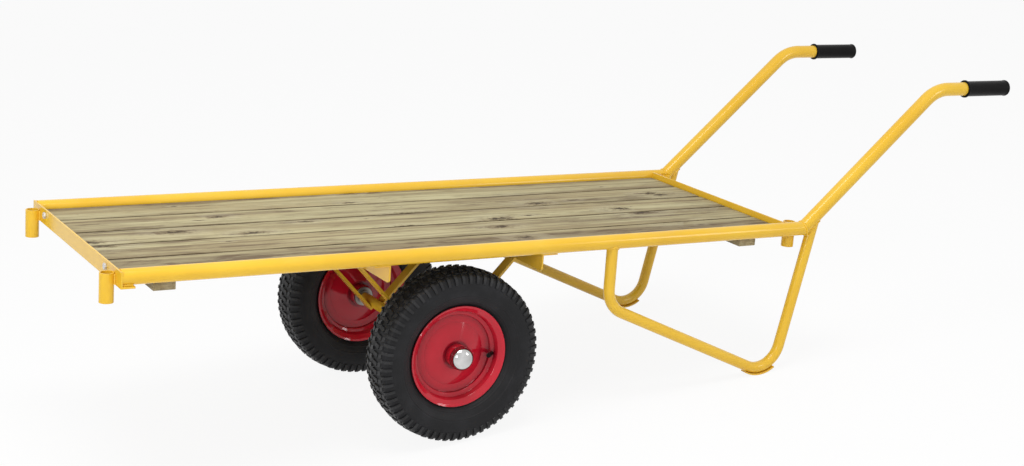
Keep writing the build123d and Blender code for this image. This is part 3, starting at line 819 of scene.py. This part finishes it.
# %% Deck boards and battens
board_nodes = [f"deck_board_{number}" for number in range(1, 6)]
board_places = [middle(extent(node)[1]) for node in board_nodes]
bolt_ends, bolt_sides, bolt_rises = extent("front_bolts")
head_corners, notch_slack, notch_width, notch_height = 15.0, 1.5, 19, 60
bolt_across = bolt_sides[1] - max(gauge(bolt_rises), head_corners) / 2
notch_reach = bolt_ends[1] + notch_slack - extent(board_nodes[0])[0][0]
notch_room = (2 * notch_reach, notch_width, notch_height)
planks = [(f"board_{node[-1]}", node, along, crosswise, board_edge, deck_wood) for node in board_nodes]
planks += [(f"batten_{end}", f"deck_batten_{end}", crosswise, -along, under_radius, batten_wood)
           for end in ("front", "rear")]
for number, (name, node, *how) in enumerate(planks, start=1):
    made, log_frame = plank(name, node, *how, number)
    if node in (board_nodes[0], board_nodes[-1]):
        front, sideways, rises = extent(node)
        across = math.copysign(bolt_across, middle(sideways))
        notched(made, cart(front[0], across, middle(rises)), notch_room)
    store_log(made, *log_frame)
    stands_for(made, "frame", node)
print("boards and battens planed:", len(planks))

# %% [markdown]
# ## Grips and axle caps
#
# The grips are moulded sleeves with a thumb collar and a closed, rounded end. The axle caps are
# pressed domes with a rolled edge that drive on to the axle ends. Both could be stacked up from
# cylinders, but a traced profile holds every small step of the mould or the press.

# %% Grips
collar = [(16.95, 0), (20.8, 0), (21.6, 0.5), (22.0, 1.4), (22.0, 3.6), (21.5, 4.6), (20.3, 5.3),
          (19.5, 6.2), (19.2, 8)]
closed_end = [(19.2, -12), (19.35, -7.5), (19.8, -5.8), (20.2, -4.8), (20.2, -3.0), (19.5, -1.2),
              (18.0, -0.3), (15.5, 0), (13.0, -0.4), (6.0, -0.6), (0, -0.6)]
for side in sides:
    grip_span, grip_across, grip_rise = extent(f"grip_{side}")
    grip_length = gauge(grip_span)
    profile = collar + [(radius, grip_length + back) for radius, back in closed_end]
    shape = turned(profile, cart(grip_span[0], middle(grip_across), middle(grip_rise)), along, steps=48)
    stands_for(piece(f"hand_grip_{side}", *shape, grip_black, sharp=45), "frame", f"grip_{side}")
print("grips", round(grip_length), "mm long")

# %% Axle caps
rolled_edge = [(-1.0, 0), (-0.3, 0.3), (0, 1.0), (0, 2.0), (-0.3, 2.8)]
edge_height, edge_step, dome_fullness = 3.2, 0.6, 0.8
quarter_turn = [math.radians(angle) for angle in range(0, 91, 6)]
for side, sign in sides.items():
    cap_reach, cap_ends = extent(f"axle_cap_{side}")[:2]
    cap_foot, cap_radius = min(cap_ends, key=abs), gauge(cap_reach) / 2
    dome_radius, dome_rise = cap_radius - edge_step, gauge(cap_ends) - edge_height
    profile = [(cap_radius / 2, 0)] + [(cap_radius + step, height) for step, height in rolled_edge]
    profile += [(dome_radius * math.cos(angle) ** dome_fullness, edge_height + dome_rise * math.sin(angle))
                for angle in quarter_turn]
    shape = turned(profile, cart(0, cap_foot, 0), crosswise * sign, steps=64)
    stands_for(piece(f"pressed_cap_{side}", *shape, chrome, sharp=40), "frame", f"axle_cap_{side}")
print("caps", round(2 * cap_radius), "mm across")

# %% [markdown]
# ## Fasteners
#
# Screws hold the boards from below and two hexagon bolts pass through the front crossmember. Each
# fastener is modelled once, standing on the floor of its own little frame, and Geometry Nodes sets
# a copy of it on every point where one is driven.

# %% A tree that sets fasteners on points
seated, seated_in, seated_out = tree_with("set_on_points", Block="Object", Turn="Vector")
copied(seated, seated_in, seated_out, seated_in["Geometry"], seated_in["Turn"])


def driven(name, block, facing, points, *nodes):
    """Sets copies of a fastener on points, facing one way, in place of its solids."""
    turn = Vector((0, 0, 1)).rotation_difference(facing).to_euler()
    made = grown(name, seated, {"Block": block, "Turn": Vector(turn), "Finish": zinc}, points)
    stands_for(made, "frame", *nodes)
    bpy.data.objects.remove(block)


print("fastener tree:", len(seated.nodes), "nodes")

# %% A pan-head screw with a cross recess
head_profile = [(2.2, -8), (2.2, 0), (4.4, 0), (4.5, 0.5), (4.5, 1.4), (4.2, 2.2), (3.5, 2.8)]
recess_long, recess_wide, recess_deep, head_top, head_steps = 2.5, 0.6, 1.6, 3.0, 24


def cross_screw():
    """A screw that stands on its head's underside, with its recess on top."""
    points, faces = turned(head_profile, Vector(), Vector((0, 0, 1)), head_steps)
    cross = []
    for quarter in range(4):
        turn = Matrix.Rotation(math.pi / 2 * quarter, 2)
        corners = [(recess_wide, recess_wide), (recess_wide, recess_long), (-recess_wide, recess_long)]
        cross += [turn @ Vector(corner) for corner in corners]
    top = [Vector((corner.x, corner.y, head_top)) / 1000 for corner in cross]
    floor_loop = [spot - Vector((0, 0, recess_deep)) / 1000 for spot in top]
    start, count = len(points), len(cross)
    points += top + floor_loop
    faces += bridge(start, start + count, count)
    faces.append(tuple(start + count + i for i in range(count)))
    edge_of = len(head_profile)
    ring = [step * edge_of + edge_of - 1 for step in range(head_steps)]
    nearest = [min(range(count), key=lambda i: (top[i] - points[spot]).length) for spot in ring]
    for i, spot in enumerate(ring):
        j = (i + 1) % len(ring)
        faces.append((spot, ring[j], start + nearest[i]))
        step = nearest[i]
        while step != nearest[j]:
            other = (step + (1 if (nearest[j] - nearest[i]) % count < count / 2 else -1)) % count
            faces.append((ring[j], start + other, start + step))
            step = other
    return piece("cross_screw", points, faces, zinc, sharp=30)


print("screw heads stand", head_top, "mm high")

# %% Screws under the deck
screw_pair, flange_inset = 60.0, 19.0
batten_spots = []
for end in ("front", "rear"):
    reach_span, _, rise_span = extent(f"deck_batten_{end}")
    batten_spots += [cart(middle(reach_span), across + shift, rise_span[0] + head_top)
                     for across in board_places for shift in (-screw_pair / 2, screw_pair / 2)]
driven("batten_screw_heads", cross_screw(), -upward, batten_spots, "batten_screws")
front_face, rear_face = extent("front_crossmember")[0][0], extent("rear_crossmember")[0][1]
flange_under = extent("front_crossmember")[2][0]
flange_spots = [cart(reach, across, flange_under)
                for reach in (front_face + flange_inset, rear_face - flange_inset) for across in board_places]
driven("flange_screw_heads", cross_screw(), -upward, flange_spots, "flange_screws")

# %% Hexagon bolts and nuts
across_flats, head_height, nut_height, bolt_radius, bore_radius = 13.0, 5.3, 6.5, 4.0, 0.5
face_share, face_rise, chamfer, hex_steps = 0.95, 0.3, math.tan(math.radians(28)), 72


def hexagon(height, tail):
    """A chamfered hexagon on its seat, with a washer face below it and a tail of loops above it."""
    angles, sixth = full_turn(hex_steps), math.pi / 3
    flats = [across_flats / 2 / math.cos((angle + sixth / 2) % sixth - sixth / 2) for angle in angles]
    face = across_flats / 2 * face_share
    loops = [[(bore_radius, 0)] * hex_steps, [(face, 0)] * hex_steps,
             [(flat, face_rise + (flat - face) * chamfer) for flat in flats],
             [(flat, height - (flat - face) * chamfer) for flat in flats]]
    loops += [[ring] * hex_steps for ring in [(face, height), *tail]]
    points = [Vector((radius * math.cos(angle), radius * math.sin(angle), rise)) / 1000
              for loop in loops for (radius, rise), angle in zip(loop, angles)]
    faces = []
    for near in range(0, len(points) - hex_steps, hex_steps):
        faces += bridge(near, near + hex_steps, hex_steps)
    return piece("hexagon", points, faces, zinc, sharp=25)


bolt_rise = middle(bolt_rises)
stamp_depth, thread_depth, thread_step, thread_end = 0.4, 0.5, 0.62, nut_height + 4.0
head_tail = [(4.6, head_height), (4.2, head_height - stamp_depth), (0, head_height - stamp_depth)]
thread = [(bolt_radius - thread_depth * (i % 2), nut_height + 0.4 + thread_step * i) for i in range(6)]
nut_tail = [(4.8, nut_height), (bolt_radius, nut_height - 0.5), *thread, (3.2, thread_end), (0, thread_end)]
bolt_spots = [cart(front_face, sign * bolt_across, bolt_rise) for sign in sides.values()]
nut_seat = extent("front_nuts")[0][0]
nut_spots = [cart(nut_seat, sign * bolt_across, bolt_rise) for sign in sides.values()]
driven("front_bolt_heads", hexagon(head_height, head_tail), -along, bolt_spots, "front_bolts")
driven("front_nut_ends", hexagon(nut_height, nut_tail), along, nut_spots, "front_nuts")

# %% [markdown]
# ## Welds
#
# Every tube joint is closed by a weld: a low bead with the ripple that the welder leaves at each
# step. A joint's line follows from its two tubes, so it is worked out, and Geometry Nodes sweeps a
# round section along it whose size ripples as it goes.

# %% A tree that lays a bead along a line
laid, laid_in, laid_out = tree_with("lay_weld_bead", Width="Float", Ripple="Float", Step="Float")
curve = geometry(laid, "MeshToCurve", {0: laid_in["Geometry"]})
quarter_step = sums(laid, "DIVIDE", laid_in["Step"], 4.0)
fine = geometry(laid, "ResampleCurve", {"Curve": curve, "Length": quarter_step}, mode="LENGTH")
wave = sums(laid, "SINE", times(laid, geometry(laid, "InputIndex"), math.pi / 2))
swell = plus(laid, times(laid, wave, laid_in["Ripple"]), 1.0)
bead_radius = sums(laid, "DIVIDE", laid_in["Width"], 2.0)
bead_section = geometry(laid, "CurvePrimitiveCircle", {"Resolution": 8, "Radius": bead_radius})
sweep = {"Curve": fine, "Profile Curve": bead_section, "Scale": swell, "Fill Caps": True}
swept = geometry(laid, "CurveToMesh", sweep)
coated(laid, laid_in, laid_out, geometry(laid, "SetShadeSmooth", {0: swept}))
print("weld tree:", len(laid.nodes), "nodes")

# %% The lines where tubes meet


def heading(degrees):
    """The direction that climbs at this angle towards the handles."""
    return along * math.cos(math.radians(degrees)) + upward * math.sin(math.radians(degrees))


def tube_on_tube(foot, run, radius, trunk, trunk_run, trunk_radius, steps=44):
    """The closed line where a tube that runs up from its foot ends on a trunk tube."""
    second = run.cross(crosswise)
    square_run = run - trunk_run * run.dot(trunk_run)
    line = []
    for angle in full_turn(steps):
        start = foot + (crosswise * math.cos(angle) + second * math.sin(angle)) * radius / 1000
        away = start - trunk
        away -= trunk_run * away.dot(trunk_run)
        a, b = square_run.length_squared, square_run.dot(away)
        c = away.length_squared - (trunk_radius / 1000) ** 2
        line.append(start + run * (-b - math.sqrt(b * b - a * c)) / a)
    return line


def oval(centre, first, second, steps=44):
    """A closed line round an ellipse with these half axes in millimetres."""
    return [centre + (first * math.cos(angle) + second * math.sin(angle)) / 1000
            for angle in full_turn(steps)]


print("helpers follow tube joints")

# %% Lay the frame's welds
rail_sides, rail_rises = extent("side_rail_right")[1:]
leg_span, leg_sides = extent("leg_tube_right")[:2]
rail_across, rail_rise = middle(rail_sides), middle(rail_rises)
rail_radius = gauge(rail_rises) / 2
leg_radius = gauge(leg_sides) / 2
socket_sides, socket_rises = extent("front_stake_socket_right")[1:]
handle_reach, handle_slope = 923.0, 41.7
foot_reach, foot_rise, upright_reach = 869.0, -127.0, 950.0
socket_out, socket_half, corner_out, corner_up, corner_run = 1.2, 9.5, 11.4, 2.2, (4, 27)
post_reach = leg_span[0] + leg_radius
lean = math.degrees(math.atan2(rail_rise - foot_rise, upright_reach - foot_reach))
closed_lines, open_lines = [], []
for sign in sides.values():
    across = sign * rail_across
    corner = cart(handle_reach, across, rail_rise)
    slant = heading(handle_slope / 2 + 90) * rail_radius / math.cos(math.radians(handle_slope / 2))
    closed_lines.append(oval(corner, crosswise * rail_radius, slant))
    legs = ((cart(post_reach, across, 0), upward, along),
            (cart(foot_reach, across, foot_rise), heading(lean), heading(handle_slope)))
    for foot, run, trunk_run in legs:
        closed_lines.append(tube_on_tube(foot, run, leg_radius, corner, trunk_run, rail_radius))
    for shift in (-socket_half, socket_half):
        weld_across = sign * middle(socket_sides) + shift
        open_lines.append([cart(front_face - socket_out, weld_across, rise)
                           for rise in (flange_under + 1, socket_rises[1] - 2)])
    open_lines.append([cart(front_face + run, across + sign * corner_out, rail_rises[0] + corner_up)
                       for run in corner_run])
points, edges = [], []
for line in closed_lines + open_lines:
    start, count = len(points), len(line)
    points += line
    edges += [(start + i, start + (i + 1) % count) for i in range(count if count > 2 else 1)]
settings = {"Width": 0.0052, "Ripple": 0.14, "Step": 0.0042, "Finish": yellow}
beads = grown("frame_welds", laid, settings, points, edges)
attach(beads, "frame")

# %% [markdown]
# ## The studio
#
# The picture has a white sweep, a large soft light overhead and the camera low at the cart's front
# left corner. The lens and place were solved from points that can be read in the picture, so they
# are written as numbers, measured from the axle.

# %% Camera
eye = axle + Vector((-1.74439, -3.6963, 1.41913))
aim = axle + Vector((0.20487, -0.17262, 0.22579))
roll = math.radians(-1.19)
lens = bpy.data.cameras.new("picture_camera")
lens.sensor_width = 36.0
lens.lens = 64.31
camera = put("picture_camera", lens)
turn = (aim - eye).to_track_quat("-Z", "Y").to_matrix().to_4x4() @ Matrix.Rotation(roll, 4, "Z")
camera.matrix_world = Matrix.Translation(eye) @ turn
stage.camera = camera
print("camera", round((aim - eye).length, 2), "m from its aim, lens", lens.lens, "mm")

# %% Floor


def plain_rays(tree):
    """One where a ray comes from the camera, a reflection or clear glass."""
    rays = add(tree, "LightPath").outputs
    seen = sums(tree, "MAXIMUM", rays["Is Camera Ray"], rays["Is Glossy Ray"])
    return sums(tree, "MAXIMUM", seen, rays["Is Transmission Ray"])


floor_half, floor_white = 30, 0.9
floor_corners = [(x * floor_half, y * floor_half, 0) for x, y in ((-1, -1), (1, -1), (1, 1), (-1, 1))]
floor_mesh = bpy.data.meshes.new("studio_floor")
floor_mesh.from_pydata(floor_corners, [], [(0, 1, 2, 3)])
floor = put("studio_floor", floor_mesh)
paper, paper_tree, paper_shader = surface("studio_paper", Base_Color=(0.86, 0.86, 0.86, 1), Roughness=0.9)
glow = add(paper_tree, "Emission", {"Color": (1, 1, 1), "Strength": 1.0})
whitened = times(paper_tree, plain_rays(paper_tree), floor_white)
paper_mix = add(paper_tree, "MixShader", {0: whitened, 1: paper_shader, 2: glow})
feed(paper_tree, paper_tree.nodes["Material Output"].inputs["Surface"], paper_mix)
floor_mesh.materials.append(paper)
print("floor", 2 * floor_half, "m across")

# %% White surround and lamps
room_light, white_seen = 0.56, 1.0
world = bpy.data.worlds.new("studio_white")
world.use_nodes = True
stage.world = world
sky = world.node_tree
backing = sky.nodes["Background"]
feed(sky, backing.inputs["Color"], (1, 1, 1))
feed(sky, backing.inputs["Strength"], between(sky, plain_rays(sky), 0.0, 1.0, room_light, white_seen))


def lamp(name, place_at, look_at, size, power):
    """A rectangular soft light."""
    light = bpy.data.lights.new(name, "AREA")
    light.shape = "RECTANGLE"
    light.size, light.size_y = size
    light.energy = power
    aimed = (Vector(look_at) - Vector(place_at)).to_track_quat("-Z", "Y")
    put(name, light).matrix_world = Matrix.Translation(Vector(place_at)) @ aimed.to_matrix().to_4x4()


lamp("overhead_softbox", (-1.1, -0.8, 3.4), (-0.5, 0, 0.4), (2.4, 1.0), 68)
lamp("left_softbox", (-2.9, -2.1, 1.5), (-0.8, 0, 0.4), (0.8, 0.8), 22)
lamp("right_softbox", (2.6, -3.2, 1.6), (0.2, 0, 0.3), (0.6, 1.2), 17)
stage.view_settings.view_transform = "Standard"
print("lamps:", len(bpy.data.lights))
